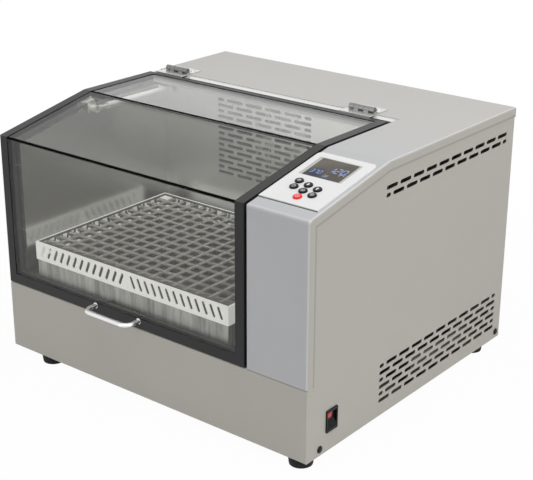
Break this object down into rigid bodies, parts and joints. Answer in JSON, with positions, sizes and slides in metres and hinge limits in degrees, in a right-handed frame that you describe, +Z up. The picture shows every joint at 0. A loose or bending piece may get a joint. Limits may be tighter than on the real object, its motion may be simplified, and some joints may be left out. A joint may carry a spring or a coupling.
{
  "type": "incubated benchtop shaker",
  "caption": "Benchtop shaker incubator with a hinged clear lid over a heated steel chamber, an orbiting tray with a spring net, and a sloping control panel.",
  "frame": {"origin": "middle of the box round the whole object, lid closed, at the underside of the feet", "axes": "+Z up, -Y towards the user at the lid's handle, +X towards the control housing"},
  "size_m": [0.6436, 0.6038, 0.445],
  "materials": {
    "cover_grey": "satin powder coat",
    "body_beige": "satin powder coat",
    "stainless": "brushed",
    "steel": "machined",
    "cast_aluminium": "cast and machined",
    "felt": "mineral fibre",
    "lid_dark": "dark anodised",
    "smoked_clear": "clear smoked plastic",
    "chrome": "polished",
    "rubber_black": "matt",
    "black_metal": "satin",
    "overlay_white": "smooth",
    "display": "gloss",
    "board_green": "matt",
    "key_black": "satin",
    "key_red": "satin",
    "switch_black": "satin",
    "rocker": "gloss"
  },
  "bodies": {
    "cabinet": {"base_shell": "body_beige", "side_panel_left": "body_beige", "side_panel_right": "body_beige", "rear_panel": "body_beige", "top_cover": "cover_grey", "chamber_liner": "stainless", "chamber_rear_wall": "stainless", "insulation_slabs": "felt", "air_duct": "cast_aluminium", "heater_element": "steel", "fan_motor": "steel", "temperature_probe": "steel", "lid_seal": "rubber_black", "hinge_base_leaves": "stainless", "strut_wall_bracket": "stainless", "control_overlay": "overlay_white", "display_module": "display", "control_board": "board_green", "rocker_bezel": "switch_black", "drive_plate": "steel", "bearing_housings": "cast_aluminium", "shaft_bearings": "steel", "shaft_seals": "rubber_black", "drive_motor": "steel", "drive_belt": "rubber_black", "power_supply": "steel", "power_inlet": "switch_black", "feet": "rubber_black", "cabinet_screws": "black_metal"},
    "lid": {"lid_frame": "lid_dark", "lid_panel_front": "smoked_clear", "lid_panel_slope": "smoked_clear", "lid_panel_top": "smoked_clear", "lid_strips": "lid_dark", "lid_handle": "chrome", "hinge_lid_leaves": "stainless", "strut_lid_bracket": "stainless", "lid_screws": "steel"},
    "strut_cylinder": {"gas_strut_cylinder": "steel"},
    "strut_rod": {"gas_strut_rod": "steel"},
    "platform": {"platform_carrier": "stainless", "spring_tray": "stainless", "spring_net": "stainless", "carrier_bearings": "steel"},
    "main_crank": {"drive_crank": "steel", "crank_counterweight": "steel", "crank_pulley": "cast_aluminium"},
    "left_crank": {"idler_crank_left": "steel"},
    "right_crank": {"idler_crank_right": "steel"},
    "motor_shaft": {"motor_pulley": "steel"},
    "fan": {"fan_impeller": "cast_aluminium"},
    "rocker": {"mains_rocker": "rocker"},
    "key_menu": {"key_menu": "key_black"},
    "key_down": {"key_down": "key_black"},
    "key_up": {"key_up": "key_black"},
    "key_timer": {"key_timer": "key_black"},
    "key_speed": {"key_speed": "key_black"},
    "key_heat": {"key_heat": "key_black"},
    "key_power": {"key_power": "key_red"}
  },
  "joints": [
    {"name": "lid_hinge", "type": "hinge", "parent": "cabinet", "child": "lid", "pos_m": [-0.059, 0.1161, 0.44], "axis": [-1, 0, 0], "range_deg": [0, 75]},
    {"name": "strut_turn", "type": "hinge", "parent": "cabinet", "child": "strut_cylinder", "pos_m": [-0.275, 0.0881, 0.41], "axis": [-1, 0, 0], "range_deg": [0, 76.3]},
    {"name": "strut_slide", "type": "slide", "parent": "strut_cylinder", "child": "strut_rod", "axis": [0, -1, 0.0055], "range_m": [0, 0.0502]},
    {"name": "crank_spin", "type": "hinge", "parent": "cabinet", "child": "main_crank", "pos_m": [-0.051, -0.0149, 0.094], "axis": [0, 0, 1], "continuous": true},
    {"name": "platform_orbit", "type": "hinge", "parent": "main_crank", "child": "platform", "pos_m": [-0.051, -0.0279, 0.164], "axis": [0, 0, 1], "continuous": true},
    {"name": "left_crank_spin", "type": "hinge", "parent": "cabinet", "child": "left_crank", "pos_m": [-0.161, -0.1399, 0.094], "axis": [0, 0, 1], "continuous": true},
    {"name": "right_crank_spin", "type": "hinge", "parent": "cabinet", "child": "right_crank", "pos_m": [0.059, -0.1399, 0.094], "axis": [0, 0, 1], "continuous": true},
    {"name": "motor_spin", "type": "hinge", "parent": "cabinet", "child": "motor_shaft", "pos_m": [0.11, -0.0149, 0.054], "axis": [0, 0, 1], "continuous": true},
    {"name": "fan_spin", "type": "hinge", "parent": "cabinet", "child": "fan", "pos_m": [-0.059, 0.1301, 0.3455], "axis": [0, 1, 0], "continuous": true},
    {"name": "rocker_tilt", "type": "hinge", "parent": "cabinet", "child": "rocker", "pos_m": [0.314, -0.2079, 0.0645], "axis": [0, 1, 0], "range_deg": [0, 16]},
    {"name": "key_menu_press", "type": "slide", "parent": "cabinet", "child": "key_menu", "axis": [0, 0.1922, -0.9814], "range_m": [0, 0.0006], "stiffness_N_per_m": 1500},
    {"name": "key_down_press", "type": "slide", "parent": "cabinet", "child": "key_down", "axis": [0, 0.1922, -0.9814], "range_m": [0, 0.0006], "stiffness_N_per_m": 1500},
    {"name": "key_up_press", "type": "slide", "parent": "cabinet", "child": "key_up", "axis": [0, 0.1922, -0.9814], "range_m": [0, 0.0006], "stiffness_N_per_m": 1500},
    {"name": "key_timer_press", "type": "slide", "parent": "cabinet", "child": "key_timer", "axis": [0, 0.1922, -0.9814], "range_m": [0, 0.0006], "stiffness_N_per_m": 1500},
    {"name": "key_speed_press", "type": "slide", "parent": "cabinet", "child": "key_speed", "axis": [0, 0.1922, -0.9814], "range_m": [0, 0.0006], "stiffness_N_per_m": 1500},
    {"name": "key_heat_press", "type": "slide", "parent": "cabinet", "child": "key_heat", "axis": [0, 0.1922, -0.9814], "range_m": [0, 0.0006], "stiffness_N_per_m": 1500},
    {"name": "key_power_press", "type": "slide", "parent": "cabinet", "child": "key_power", "axis": [0, 0.1922, -0.9814], "range_m": [0, 0.0006], "stiffness_N_per_m": 1500}
  ],
  "couplings": [
    {"joint": "strut_turn", "follows": "lid_hinge", "ratio": 1.015},
    {"joint": "strut_slide", "follows": "lid_hinge", "m_per_rad": 0.038045},
    {"joint": "platform_orbit", "follows": "crank_spin", "ratio": -1},
    {"joint": "left_crank_spin", "follows": "crank_spin", "ratio": 1},
    {"joint": "right_crank_spin", "follows": "crank_spin", "ratio": 1},
    {"joint": "motor_spin", "follows": "crank_spin", "ratio": 3}
  ]
}
